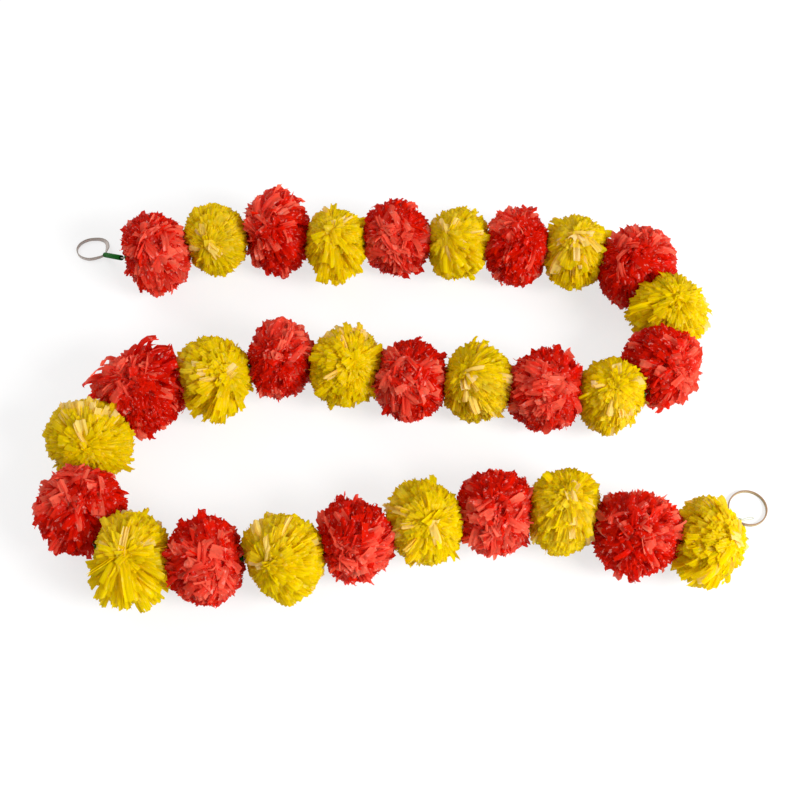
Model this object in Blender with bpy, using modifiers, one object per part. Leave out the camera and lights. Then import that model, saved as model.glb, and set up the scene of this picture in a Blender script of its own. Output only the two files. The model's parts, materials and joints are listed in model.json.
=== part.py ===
"""Artificial marigold garland laid out in an S on a table, in metres, +Z up.

Thirty film flowers are threaded on one string. Each is tied on a short green tube,
and a strap ring is tied at each end. Flower 1 is at the left end of the far row.
The string runs along straight links that meet at the bends between two flowers.
Every link has an empty on its bend's axis, and every flower has its origin on the
string, so that it can spin.
"""

import math

import bpy
import numpy as np
from mathutils import Matrix, Vector

# Flowers
FLOWER_PITCH = 0.0485
FLOWER_RADIUS = 0.032
FLOWER_GAP = 0.0003
FLOWER_TUFTS = 11
FLOWER_RINGS = 10
FLOWER_FULLNESS = 2.4
TUFT_DEPTH_SHARE = 0.17

# Green tubes that the flowers are tied on
TUBE_RADIUS = 0.002
TUBE_WALL = 0.0006
TUBE_END_GAP = 0.0015
TUBE_CLEARANCE = 0.0003
TUBE_SIDES = 8

# String
STRING_RADIUS = 0.00055
STRING_CORNER = 0.0011
KNOT_RADIUS = 0.0013
KNOT_LENGTH = 0.0026

# End tube, which slopes from the string's height down to the left ring
END_TUBE_LENGTH = 0.0415
END_TUBE_START = 0.003
END_TUBE_HEADING = 132
END_TUBE_FOOT = 0.0027

# Strap rings, each a strap on edge whose ends overlap where the string is tied
RING_OVERLAP = 40
RING_POINTS = 34
RING_LAYER_GAP = 0.0005
TIE_CLEARANCE = 0.0003
LEFT_RING_LENGTH = 0.0236
LEFT_RING_WIDTH = 0.0200
LEFT_STRAP_HEIGHT = 0.0030
LEFT_STRAP_THICKNESS = 0.0008
LEFT_RING_HEADING = 153
LEFT_TIE_RUN = 0.0030
RIGHT_RING_LENGTH = 0.0290
RIGHT_RING_WIDTH = 0.0285
RIGHT_STRAP_HEIGHT = 0.0026
RIGHT_STRAP_THICKNESS = 0.0010
RIGHT_RING_HEADING = 50

CUT_OVERRUN = 0.002
MERGE_DISTANCE = 0.00001

# Way that the string runs through each flower, in degrees from +X
HEADINGS = (
    12, 19, -11, -3, 7, -11, -2, -6, -33, -87,
    -121, -175, -194, -181, -187, -199, -171, -164, -158, -108,
    -69, -14, 4, 6, 19, 12, 10, -14, -16, -1,
)
# Each link's length as a share of the pitch
PITCH_SHARES = (
    0.95, 1.00, 0.96, 0.94, 0.97, 0.97, 0.91, 0.96, 1.01, 1.08,
    1.06, 1.00, 1.00, 0.97, 0.97, 1.02, 0.98, 1.03, 1.05, 1.15,
    1.15, 1.07, 1.04, 1.00, 1.00, 0.99, 0.96, 1.01, 1.01, 0.95,
)
# Each flower's radius as a share of the largest
SIZE_SHARES = (
    0.98, 0.90, 1.00, 0.90, 0.93, 0.90, 0.95, 0.92, 1.00, 0.95,
    0.98, 0.91, 0.96, 0.92, 0.94, 0.95, 0.92, 0.96, 1.00, 0.97,
    0.99, 1.00, 0.98, 0.98, 0.95, 0.95, 0.95, 0.95, 1.00, 0.97,
)
FLOWER_COUNT = len(HEADINGS)
# The middle tube carries these flowers, and the rest of the garland bends away from it
MIDDLE_FIRST = 13
MIDDLE_LAST = 17

# How far each bend opens from rest, in degrees. The turns of the S open until they are
# straight, and bend 27 lies turned that way already. A bend counts by the flower before.
STRAIGHT_OPENING = 24
OTHER_OPENINGS = {9: 54, 10: 34, 11: 54, 19: 50, 20: 39, 21: 55, 27: 12}

# Points of the bare string from the last flower to the right ring's tie: along the
# last link and to its left as shares of the tie's distances, and height as a share
# of the string's height
DROP_ALONG_SHARES = (0.40, 0.75, 0.98, 1.08, 1.08, 1.04)
DROP_ACROSS_SHARES = (0.01, 0.10, 0.28, 0.52, 0.74, 0.90)
DROP_HEIGHT_SHARES = (0.99, 0.86, 0.62, 0.33, 0.13, 0.055)
RIGHT_TIE_ALONG = 0.0055
RIGHT_TIE_ACROSS = 0.0258

RED = (0.78, 0.02, 0.01, 1.0)
YELLOW = (0.86, 0.66, 0.0, 1.0)
GREEN = (0.006, 0.09, 0.008, 1.0)
THREAD = (0.55, 0.55, 0.45, 1.0)
GREY_STRAP = (0.42, 0.39, 0.36, 1.0)
TAN_STRAP = (0.40, 0.28, 0.16, 1.0)


def clear_scene():
    for obj in list(bpy.data.objects):
        bpy.data.objects.remove(obj, do_unlink=True)


def new_collection(name):
    collection = bpy.data.collections.new(name)
    bpy.context.scene.collection.children.link(collection)
    return collection


def make_material(name, colour, roughness):
    material = bpy.data.materials.new(name)
    material.use_nodes = True
    shader = material.node_tree.nodes["Principled BSDF"]
    shader.inputs["Base Color"].default_value = colour
    shader.inputs["Roughness"].default_value = roughness
    shader.inputs["Metallic"].default_value = 0.0
    return material


def unit(heading):
    """Level unit vector at a heading in degrees from +X."""
    angle = math.radians(heading)
    return Vector((math.cos(angle), math.sin(angle), 0.0))


def string_vertices():
    """Bend points of the string, found by walking the links one after another."""
    points = [Vector((0.0, 0.0, FLOWER_RADIUS))]
    for heading, share in zip(HEADINGS, PITCH_SHARES):
        points.append(points[-1] + unit(heading) * FLOWER_PITCH * share)
    return points


def rest_bend(vertex):
    """Change of heading at the bend after flower number vertex, in degrees."""
    return HEADINGS[vertex] - HEADINGS[vertex - 1]


def opening(vertex):
    """Degrees that the bend after flower number vertex can open."""
    if MIDDLE_FIRST <= vertex < MIDDLE_LAST:
        return 0
    return OTHER_OPENINGS.get(vertex, STRAIGHT_OPENING)


def widest_bend(vertex):
    """Largest bend in degrees that the joint at a vertex passes through."""
    if vertex < 1 or vertex >= FLOWER_COUNT:
        return STRAIGHT_OPENING
    side = 1 if vertex < MIDDLE_FIRST else -1
    opened = rest_bend(vertex) + side * opening(vertex)
    return max(abs(rest_bend(vertex)), abs(opened))


def half_length(number, vertex):
    """Reach of a flower along the string towards a vertex.

    The flower's outline is a superellipse, of power FLOWER_FULLNESS, that stays on
    its own side of the plane that halves the joint's widest bend. Its support in that
    plane's direction, a sum of powers of its reach and its radius, is the distance of
    the plane from the hub.
    """
    half = math.radians(widest_bend(vertex)) / 2
    radius = FLOWER_RADIUS * SIZE_SHARES[number - 1]
    plane = FLOWER_PITCH * PITCH_SHARES[number - 1] / 2 * math.cos(half) - FLOWER_GAP / 2
    power = FLOWER_FULLNESS / (FLOWER_FULLNESS - 1)
    reach = (plane**power - (radius * math.sin(half)) ** power) ** (1 / power)
    return reach / math.cos(half)


def along(heading):
    """Turn that lays a piece's own Z axis along a level heading."""
    return Matrix.Rotation(math.radians(heading), 4, "Z") @ Matrix.Rotation(math.pi / 2, 4, "Y")


class Garland:
    """Collects the parts, their parents and their places in the world."""

    def __init__(self):
        self.parts = new_collection("marigold_garland")
        self.cutters = new_collection("garland_cutters")
        self.worlds = {}

    def place(self, obj, world, parent=None):
        """Parents an object and sets the place that gives it a world matrix."""
        self.worlds[obj.name] = world
        if parent is None:
            obj.matrix_basis = world
            return obj
        obj.parent = parent
        obj.matrix_basis = self.worlds[parent.name].inverted() @ world
        return obj

    def add_empty(self, name, world, parent=None):
        empty = bpy.data.objects.new(name, None)
        empty.empty_display_size = FLOWER_RADIUS
        self.parts.objects.link(empty)
        return self.place(empty, world, parent)

    def add_part(self, name, data, material, world, parent):
        obj = bpy.data.objects.new(name, data)
        data.materials.clear()
        data.materials.append(material)
        self.parts.objects.link(obj)
        return self.place(obj, world, parent)

    def add_cutter(self, name, data, world, parent):
        obj = bpy.data.objects.new(name, data)
        obj.hide_render = True
        obj.display_type = "WIRE"
        self.cutters.objects.link(obj)
        return self.place(obj, world, parent)


def turn_profile(obj, sides):
    """Turns an edge profile about the object's Z axis into a closed solid."""
    screw = obj.modifiers.new("turn", "SCREW")
    screw.axis = "Z"
    screw.steps = sides
    screw.render_steps = sides
    screw.use_merge_vertices = True
    screw.merge_threshold = MERGE_DISTANCE
    screw.use_smooth_shade = True


def profile_mesh(name, points):
    """Closed loop of edges through (radius, height) points in the XZ plane."""
    mesh = bpy.data.meshes.new(name)
    verts = [(radius, 0.0, height) for radius, height in points]
    edges = [(i, (i + 1) % len(verts)) for i in range(len(verts))]
    mesh.from_pydata(verts, edges, [])
    return mesh


def evaluated_mesh(obj):
    """Mesh of an object with its modifiers applied, in its own frame."""
    graph = bpy.context.evaluated_depsgraph_get()
    return bpy.data.meshes.new_from_object(obj.evaluated_get(graph))


def flower_profile(radius, front, back, bore):
    """Outer superellipse arc from the hub's front to its back, closed along the bore."""
    power = 2 / FLOWER_FULLNESS
    start = math.asin((bore / radius) ** (1 / power))
    points = []
    for angle in np.linspace(start, math.pi - start, FLOWER_RINGS + 1):
        reach = front if math.cos(angle) > 0 else back
        height = math.copysign(reach * abs(math.cos(angle)) ** power, math.cos(angle))
        points.append((radius * math.sin(angle) ** power, height))
    return points


def press_tufts(mesh, radius, front, back, bore):
    """Draws every second point of the pompom in, so that its surface stands in tufts.

    A point's depth is the tuft depth times one half of one minus the product of two
    waves: one round the string with a crest on each tuft, and one along the profile
    that swaps crests and hollows from ring to ring.
    """
    count = len(mesh.vertices)
    points = np.empty(count * 3)
    mesh.vertices.foreach_get("co", points)
    points = points.reshape(count, 3)
    across = np.hypot(points[:, 0], points[:, 1])
    around = np.arctan2(points[:, 1], points[:, 0])
    reach = np.where(points[:, 2] > 0, front, back)
    power = FLOWER_FULLNESS / 2
    start = math.asin((bore / radius) ** power)
    level = np.sign(points[:, 2]) * np.abs(points[:, 2] / reach) ** power
    slope = np.arctan2((across / radius) ** power, level)
    ring = (slope - start) / (math.pi - 2 * start) * FLOWER_RINGS
    waves = np.cos(FLOWER_TUFTS * around) * np.cos(math.pi * (ring - FLOWER_RINGS / 2))
    inward = 1 - TUFT_DEPTH_SHARE * (1 - waves) / 2
    outer = across > bore + MERGE_DISTANCE
    points[outer] *= inward[outer, None]
    mesh.vertices.foreach_set("co", points.ravel())
    mesh.update()


def make_flower(garland, number, world, parent, material):
    """One pompom, bored for its tube, with a tuft straight below the string."""
    name = f"flower_{number:02d}"
    radius = FLOWER_RADIUS * SIZE_SHARES[number - 1]
    front = half_length(number, number)
    back = half_length(number, number - 1)
    bore = TUBE_RADIUS + TUBE_CLEARANCE
    profile = profile_mesh(name + "_profile", flower_profile(radius, front, back, bore))
    guide = garland.add_cutter(name + "_guide", profile, world, parent)
    turn_profile(guide, 2 * FLOWER_TUFTS)
    mesh = evaluated_mesh(guide)
    bpy.data.objects.remove(guide, do_unlink=True)
    mesh.name = name
    press_tufts(mesh, radius, front, back, bore)
    garland.add_part(name, mesh, material, world, parent)


def make_straight_tube(garland, name, length, world, parent, material):
    """Thin round tube turned about its own axis, centred on its origin."""
    bore = TUBE_RADIUS - TUBE_WALL
    half = length / 2
    points = [(bore, half), (TUBE_RADIUS, half), (TUBE_RADIUS, -half), (bore, -half)]
    tube = garland.add_part(name, profile_mesh(name, points), material, world, parent)
    turn_profile(tube, TUBE_SIDES)


def wire_curve(name, points, radius, swell=None):
    """Round wire along points, with filled caps; swell gives each point's width."""
    curve = bpy.data.curves.new(name, "CURVE")
    curve.dimensions = "3D"
    curve.bevel_depth = radius
    curve.bevel_resolution = 2
    curve.use_fill_caps = True
    spline = curve.splines.new("POLY")
    spline.points.add(len(points) - 1)
    for i, point in enumerate(points):
        spline.points[i].co = (*point, 1.0)
        spline.points[i].radius = swell[i] if swell else 1.0
    return curve


def closed_wire_mesh(garland, name, points, radius, parent):
    """Mesh of a round wire whose caps are welded to its wall."""
    curve = wire_curve(name + "_wire", points, radius)
    wire = garland.add_cutter(name + "_wire", curve, Matrix(), parent)
    weld = wire.modifiers.new("weld", "WELD")
    weld.merge_threshold = MERGE_DISTANCE
    mesh = evaluated_mesh(wire)
    bpy.data.objects.remove(wire, do_unlink=True)
    return mesh


def cut(obj, cutter):
    boolean = obj.modifiers.new("cut", "BOOLEAN")
    boolean.operation = "DIFFERENCE"
    boolean.object = cutter


def pulled_back(points, run):
    """The same open line, with both ends drawn in by a run, or out if it is negative."""
    first = points[0] + (points[1] - points[0]).normalized() * run
    last = points[-1] + (points[-2] - points[-1]).normalized() * run
    return [first, *points[1:-1], last]


def make_middle_tube(garland, vertices, parent, material):
    """One longer tube that bends a little between the flowers that it carries."""
    line = pulled_back(vertices, TUBE_END_GAP)
    wall = closed_wire_mesh(garland, "spacer_tube_middle", line, TUBE_RADIUS, parent)
    tube = garland.add_part("spacer_tube_middle", wall, material, Matrix(), parent)
    bore_line = pulled_back(line, -CUT_OVERRUN)
    bore = closed_wire_mesh(garland, "middle_bore", bore_line, TUBE_RADIUS - TUBE_WALL, parent)
    cut(tube, garland.add_cutter("middle_bore", bore, Matrix(), parent))


def strap_line(length, width, thickness):
    """Spiral of a strap bent into an oval whose ends overlap about local -X.

    The angle runs a full turn and the overlap. The line steps out by one thickness
    and the layer gap in each turn, and the mean size is the strap's middle line.
    """
    step = thickness + RING_LAYER_GAP
    overlap = math.radians(RING_OVERLAP)
    points = []
    for share in np.linspace(0.0, 1.0, RING_POINTS):
        angle = -math.pi - overlap / 2 + share * (2 * math.pi + overlap)
        outer = (share - 1) * step
        half_long = length / 2 - thickness / 2 + outer
        half_wide = width / 2 - thickness / 2 + outer
        points.append((half_long * math.cos(angle), half_wide * math.sin(angle)))
    return points


def make_ring(garland, name, sizes, world, parent, material):
    """Strap ring standing on edge, with a hole through both layers for the string."""
    length, width, height, thickness = sizes
    curve = bpy.data.curves.new(name + "_strap", "CURVE")
    curve.dimensions = "2D"
    curve.fill_mode = "NONE"
    curve.extrude = height / 2
    spline = curve.splines.new("POLY")
    line = strap_line(length, width, thickness)
    spline.points.add(len(line) - 1)
    for i, (x, y) in enumerate(line):
        spline.points[i].co = (x, y, 0.0, 1.0)
    strap = garland.add_cutter(name + "_strap", curve, world, parent)
    shell = strap.modifiers.new("thickness", "SOLIDIFY")
    shell.thickness = thickness
    shell.offset = 0.0
    mesh = evaluated_mesh(strap)
    bpy.data.objects.remove(strap, do_unlink=True)
    mesh.name = name
    ring = garland.add_part(name, mesh, material, world, parent)

    hole_depth = 2 * thickness + RING_LAYER_GAP + 2 * CUT_OVERRUN
    middle = Vector((-length / 2 + hole_depth / 2 - CUT_OVERRUN, 0.0, 0.0))
    ends = [middle - Vector((hole_depth / 2, 0, 0)), middle + Vector((hole_depth / 2, 0, 0))]
    hole = closed_wire_mesh(garland, name + "_hole", ends, STRING_RADIUS + TIE_CLEARANCE, parent)
    cut(ring, garland.add_cutter(name + "_hole", hole, world, parent))


def corner_points(vertices):
    """String points: two at each bend, a little before and after its vertex."""
    points = []
    for before, vertex, after in zip(vertices, vertices[1:], vertices[2:]):
        points.append(vertex + (before - vertex).normalized() * STRING_CORNER)
        points.append(vertex + (after - vertex).normalized() * STRING_CORNER)
    return points


def tie_points(tie, heading, thickness):
    """String points from a ring's tie through its strap to the knot inside it."""
    inside = 2 * thickness + RING_LAYER_GAP + TIE_CLEARANCE + STRING_RADIUS
    runs = (0.0, inside, inside + KNOT_LENGTH / 4, inside + KNOT_LENGTH)
    return [tie + unit(heading) * run for run in runs]


def make_string(garland, vertices, left_tie, right_tie, foot, parent, material):
    """One string from the left ring's knot through all the tubes to the right ring's."""
    knot = KNOT_RADIUS / STRING_RADIUS
    left = tie_points(left_tie, LEFT_RING_HEADING, LEFT_STRAP_THICKNESS)[::-1]
    right = tie_points(right_tie, RIGHT_RING_HEADING, RIGHT_STRAP_THICKNESS)
    end = vertices[-1]
    forward = unit(HEADINGS[-1])
    sideways = unit(HEADINGS[-1] + 90)
    drop = []
    for ahead, aside, height in zip(DROP_ALONG_SHARES, DROP_ACROSS_SHARES, DROP_HEIGHT_SHARES):
        level = end + forward * RIGHT_TIE_ALONG * ahead + sideways * RIGHT_TIE_ACROSS * aside
        drop.append(Vector((level.x, level.y, FLOWER_RADIUS * height)))
    points = [*left, foot, *corner_points([foot, *vertices]), *drop, *right]
    swell = [1.0] * len(points)
    for place in (0, 1, -2, -1):
        swell[place] = knot
    curve = wire_curve("string", points, STRING_RADIUS, swell)
    garland.add_part("string", curve, material, Matrix(), parent)


def centre_on_table(garland, root):
    """Moves the root so that the garland's box is centred over its origin."""
    graph = bpy.context.evaluated_depsgraph_get()
    low = Vector((math.inf,) * 3)
    high = Vector((-math.inf,) * 3)
    for obj in garland.parts.objects:
        if obj.type == "EMPTY":
            continue
        mesh = evaluated_mesh(obj)
        for vertex in mesh.vertices:
            point = obj.evaluated_get(graph).matrix_world @ vertex.co
            low = Vector(map(min, low, point))
            high = Vector(map(max, high, point))
        bpy.data.meshes.remove(mesh)
    middle = (low + high) / 2
    root.location = (-middle.x, -middle.y, -low.z)


def build():
    clear_scene()
    garland = Garland()
    film = {
        "red": make_material("film_red", RED, 0.25),
        "yellow": make_material("film_yellow", YELLOW, 0.25),
    }
    green = make_material("tube_green", GREEN, 0.3)
    thread = make_material("string_thread", THREAD, 0.6)
    grey_strap = make_material("strap_grey", GREY_STRAP, 0.4)
    tan_strap = make_material("strap_tan", TAN_STRAP, 0.4)

    vertices = string_vertices()
    root = garland.add_empty("garland", Matrix())
    links = {number: root for number in range(MIDDLE_FIRST, MIDDLE_LAST + 1)}
    for number in range(MIDDLE_FIRST - 1, 0, -1):
        world = Matrix.Translation(vertices[number])
        links[number] = garland.add_empty(f"link_{number:02d}", world, links[number + 1])
    for number in range(MIDDLE_LAST + 1, FLOWER_COUNT + 1):
        world = Matrix.Translation(vertices[number - 1])
        links[number] = garland.add_empty(f"link_{number:02d}", world, links[number - 1])

    for number, heading in enumerate(HEADINGS, start=1):
        hub = (vertices[number - 1] + vertices[number]) / 2
        world = Matrix.Translation(hub) @ along(heading)
        colour = film["red"] if number % 2 else film["yellow"]
        make_flower(garland, number, world, links[number], colour)
        if not MIDDLE_FIRST <= number <= MIDDLE_LAST:
            length = FLOWER_PITCH * PITCH_SHARES[number - 1] - 2 * TUBE_END_GAP
            name = f"spacer_tube_{number:02d}"
            make_straight_tube(garland, name, length, world, links[number], green)
    make_middle_tube(garland, vertices[MIDDLE_FIRST - 1 : MIDDLE_LAST + 1], root, green)

    start = vertices[0]
    end_link = garland.add_empty("link_00", Matrix.Translation(start), links[1])
    far_end = END_TUBE_START + END_TUBE_LENGTH
    drop = math.asin((FLOWER_RADIUS - END_TUBE_FOOT) / far_end)
    down = unit(END_TUBE_HEADING) * math.cos(drop) - Vector((0, 0, math.sin(drop)))
    foot = start + down * far_end
    middle = start + down * (END_TUBE_START + END_TUBE_LENGTH / 2)
    tilt = Matrix.Rotation(drop, 4, "Y")
    lie = Matrix.Rotation(math.radians(END_TUBE_HEADING), 4, "Z") @ tilt
    slope = Matrix.Translation(middle) @ lie @ Matrix.Rotation(math.pi / 2, 4, "Y")
    make_straight_tube(garland, "spacer_tube_00", END_TUBE_LENGTH, slope, end_link, green)

    left_tie = foot + unit(LEFT_RING_HEADING) * LEFT_TIE_RUN
    left_tie.z = LEFT_STRAP_HEIGHT / 2
    swing = garland.add_empty("left_ring_swing", Matrix.Translation(left_tie), end_link)
    centre = left_tie + unit(LEFT_RING_HEADING) * LEFT_RING_LENGTH / 2
    world = Matrix.Translation(centre) @ Matrix.Rotation(math.radians(LEFT_RING_HEADING), 4, "Z")
    sizes = (LEFT_RING_LENGTH, LEFT_RING_WIDTH, LEFT_STRAP_HEIGHT, LEFT_STRAP_THICKNESS)
    make_ring(garland, "hanging_ring_left", sizes, world, swing, grey_strap)

    end = vertices[-1]
    right_tie = end + unit(HEADINGS[-1]) * RIGHT_TIE_ALONG
    right_tie += unit(HEADINGS[-1] + 90) * RIGHT_TIE_ACROSS
    right_tie.z = RIGHT_STRAP_HEIGHT / 2
    swing = garland.add_empty("right_ring_swing", Matrix.Translation(right_tie), links[FLOWER_COUNT])
    centre = right_tie + unit(RIGHT_RING_HEADING) * RIGHT_RING_LENGTH / 2
    world = Matrix.Translation(centre) @ Matrix.Rotation(math.radians(RIGHT_RING_HEADING), 4, "Z")
    sizes = (RIGHT_RING_LENGTH, RIGHT_RING_WIDTH, RIGHT_STRAP_HEIGHT, RIGHT_STRAP_THICKNESS)
    make_ring(garland, "hanging_ring_right", sizes, world, swing, tan_strap)

    make_string(garland, vertices, left_tie, right_tie, foot, root, thread)
    bpy.context.view_layer.update()
    centre_on_table(garland, root)
    bpy.context.view_layer.update()


build()
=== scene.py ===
# %% [markdown]
# # A marigold garland made of cut film
#
# Thirty pompoms in red and yellow hang on one string, and each is a bundle of thin
# plastic strips tied in the middle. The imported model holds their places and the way
# they move. This lesson dresses it: every pompom gets its few hundred strips, the
# tubes and straps get their real section, and each piece rides on the body it belongs to.

import json
import math

import bpy
import numpy as np
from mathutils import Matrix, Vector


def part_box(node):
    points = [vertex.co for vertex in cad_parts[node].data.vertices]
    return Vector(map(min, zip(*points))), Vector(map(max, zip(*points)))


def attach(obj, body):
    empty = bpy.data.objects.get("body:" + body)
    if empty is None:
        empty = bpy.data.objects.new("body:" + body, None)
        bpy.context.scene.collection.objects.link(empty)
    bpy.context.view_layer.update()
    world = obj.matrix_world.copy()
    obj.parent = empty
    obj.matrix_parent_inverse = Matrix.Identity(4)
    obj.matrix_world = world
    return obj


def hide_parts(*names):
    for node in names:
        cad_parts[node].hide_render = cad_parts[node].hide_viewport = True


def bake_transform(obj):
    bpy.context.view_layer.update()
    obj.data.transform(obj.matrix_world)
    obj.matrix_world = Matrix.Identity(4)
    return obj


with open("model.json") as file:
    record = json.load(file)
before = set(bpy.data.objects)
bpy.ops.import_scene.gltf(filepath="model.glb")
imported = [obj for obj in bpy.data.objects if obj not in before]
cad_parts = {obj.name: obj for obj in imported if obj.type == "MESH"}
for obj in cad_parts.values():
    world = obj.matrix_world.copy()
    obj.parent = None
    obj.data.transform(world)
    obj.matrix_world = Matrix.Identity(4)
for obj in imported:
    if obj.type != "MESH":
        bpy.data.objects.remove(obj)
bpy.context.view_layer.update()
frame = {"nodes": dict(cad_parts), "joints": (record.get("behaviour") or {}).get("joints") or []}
scene = bpy.context.scene

# %% [markdown]
# The joints say where everything is. A spin joint sits at the middle of a pompom and
# points along its string, and that middle lies halfway between two bends. So the bends
# are found by stepping from one end: each is the last one mirrored in the next middle.

# %% Hubs, string directions and bends
FLOWER_COUNT = 30
joints = {joint["name"]: joint for joint in frame["joints"]}
numbers = range(1, FLOWER_COUNT + 1)
hubs = np.array([joints[f"spin_{n:02d}"]["pos_m"] for n in numbers])
headings = np.array([joints[f"spin_{n:02d}"]["axis"] for n in numbers])
bends = [np.array(joints["end_tube_lift"]["pos_m"])]
for hub in hubs:
    bends.append(2 * hub - bends[-1])
bends = np.array(bends)
string_steps = np.linalg.norm(np.diff(bends, axis=0), axis=1)
print("string from end to end, in mm:", round(string_steps.sum() * 1000))

# %% [markdown]
# Two helpers serve every finish. Colours are written as on screen, in hex, and one
# function turns them into the linear values that Blender mixes with. Another adds a
# shader node, sets it up and links it, so that a material reads as a short list.

# %% Colours and nodes
def linear(code):
    """Linear RGBA of an sRGB hex code, by the sRGB curve."""
    value = np.array([int(code[i : i + 2], 16) for i in (1, 3, 5)]) / 255
    curve = np.where(value <= 0.04045, value / 12.92, ((value + 0.055) / 1.055) ** 2.4)
    return (*curve, 1.0)


def add_node(tree, kind, inputs=None, stops=None, **settings):
    """Adds a shader node of a kind, sets it up and links it.

    inputs are numbers, colours, sockets or nodes, and a node stands for its first
    output. stops are a ramp's places with their colours.
    """
    node = tree.nodes.new("ShaderNode" + kind)
    for name, value in settings.items():
        setattr(node, name, value)
    for name, value in (inputs or {}).items():
        if isinstance(value, bpy.types.Node):
            value = value.outputs[0]
        if isinstance(value, bpy.types.NodeSocket):
            tree.links.new(value, node.inputs[name])
        else:
            node.inputs[name].default_value = value
    for i, (place, colour) in enumerate(stops or []):
        ramp = node.color_ramp.elements
        stop = ramp[i] if i < len(ramp) else ramp.new(place)
        stop.position = place
        stop.color = colour
    return node


def new_material(name):
    """Material with an empty node tree, returned with the tree."""
    material = bpy.data.materials.new(name)
    material.use_nodes = True
    material.node_tree.nodes.clear()
    return material, material.node_tree


print("mid grey is", [round(value, 3) for value in linear("#808080")])

# %% [markdown]
# The studio is a white table in soft light. A large lamp at the front right gives the
# pompoms a lit side and a shaded side, and the pale world fills in the rest. Seen by the
# camera, part of the floor is plain white light, so the paper stays white and the
# shadow on it stays soft. That part grows to all of it away from the garland, so that
# the edge of the floor doesn't show.

# %% World and lamps
WORLD_STRENGTH = 0.52


def direct_rays(tree):
    """Node that is 1 for what the camera sees, also in gloss and through glass, and else 0."""
    rays = add_node(tree, "LightPath")
    seen = add_node(
        tree, "Math", {0: rays.outputs["Is Camera Ray"], 1: rays.outputs["Is Glossy Ray"]},
        operation="ADD", use_clamp=True,
    )
    both = {0: seen, 1: rays.outputs["Is Transmission Ray"]}
    return add_node(tree, "Math", both, operation="ADD", use_clamp=True)


world = bpy.data.worlds.new("studio")
world.use_nodes = True
world.node_tree.nodes.clear()
scene.world = world
tree = world.node_tree
dim = add_node(tree, "Background", {"Color": linear("#ffffff"), "Strength": WORLD_STRENGTH})
bright = add_node(tree, "Background", {"Color": linear("#ffffff"), "Strength": 1.0})
mixed = add_node(tree, "MixShader", {0: direct_rays(tree), 1: dim, 2: bright})
add_node(tree, "OutputWorld", {"Surface": mixed})


def add_lamp(name, place, size, power):
    """Square soft lamp at a place, aimed at the middle of the garland."""
    data = bpy.data.lights.new(name, "AREA")
    data.size = size
    data.energy = power
    lamp = bpy.data.objects.new(name, data)
    scene.collection.objects.link(lamp)
    lamp.location = place
    lamp.rotation_euler = lamp.location.to_track_quat("Z", "Y").to_euler()


add_lamp("key", place=(1.2, -0.75, 1.0), size=0.7, power=42)
add_lamp("fill", place=(-0.9, 0.8, 1.1), size=1.2, power=9)

# %% Floor
FLOOR_SIZE = 6.0
FLOOR_LIGHT_SHARE = 0.7
# How far from the middle that share begins to grow, and where it has become the whole
FLOOR_FADE = (0.45, 1.3)
# Waves in the paper to a metre, so that one is about 7 mm long
PAPER_WAVES = 150.0
paper, tree = new_material("matt white paper")
place = add_node(tree, "TexCoord").outputs["Object"]
far = add_node(tree, "VectorMath", {0: place}, operation="LENGTH").outputs["Value"]
start, end = FLOOR_FADE
part = add_node(
    tree, "MapRange",
    {"Value": far, "From Min": start, "From Max": end, "To Min": FLOOR_LIGHT_SHARE, "To Max": 1.0},
    interpolation_type="SMOOTHSTEP",
)
share = add_node(tree, "Math", {0: direct_rays(tree), 1: part}, operation="MULTIPLY")
grain = add_node(tree, "TexNoise", {"Vector": place, "Scale": PAPER_WAVES, "Detail": 2.0})
bump = add_node(tree, "Bump", {"Height": grain, "Strength": 0.15, "Distance": 0.0002})
matt = add_node(tree, "BsdfDiffuse", {"Color": linear("#fafafa"), "Normal": bump})
glow = add_node(tree, "Emission", {"Color": linear("#ffffff"), "Strength": 1.0})
mixed = add_node(tree, "MixShader", {0: share, 1: matt, 2: glow})
add_node(tree, "OutputMaterial", {"Surface": mixed})


def add_object(name, mesh, material):
    """Object of a mesh with its material, put at the scene's origin."""
    mesh.update(calc_edges=True)
    mesh.materials.append(material)
    piece = bpy.data.objects.new(name, mesh)
    scene.collection.objects.link(piece)
    return piece


half = FLOOR_SIZE / 2
floor_mesh = bpy.data.meshes.new("floor")
corners = [(-half, -half, 0), (half, -half, 0), (half, half, 0), (-half, half, 0)]
floor_mesh.from_pydata(corners, [], [(0, 1, 2, 3)])
add_object("floor", floor_mesh, paper)
print("floor", FLOOR_SIZE, "m square")

# %% [markdown]
# The camera looks down at sixty degrees, as over a table. Its distance and lens were
# found by matching the thirty pompom middles to the picture.

# %% Camera
CAMERA_ELEVATION = math.radians(60)
CAMERA_DISTANCE = 0.8519
CAMERA_TARGET = (-0.0001, -0.0106, 0.03)
CAMERA_LENS = 54.45
lens = bpy.data.cameras.new("camera")
lens.lens = CAMERA_LENS
lens.sensor_width = 36.0
camera = bpy.data.objects.new("camera", lens)
scene.collection.objects.link(camera)
back = CAMERA_DISTANCE * math.cos(CAMERA_ELEVATION)
up = CAMERA_DISTANCE * math.sin(CAMERA_ELEVATION)
camera.location = (CAMERA_TARGET[0], CAMERA_TARGET[1] - back, CAMERA_TARGET[2] + up)
camera.rotation_euler = (math.pi / 2 - CAMERA_ELEVATION, 0, 0)
scene.camera = camera
scene.view_settings.view_transform = "Standard"
print("camera height", round(camera.location.z, 3))

# %% [markdown]
# Every piece is a surface of two parameters laid out as a grid: rows run along it and
# columns run across or round it. Quads join each point to its neighbours, and a grid
# that closes on itself joins its last row or column to its first.

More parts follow.
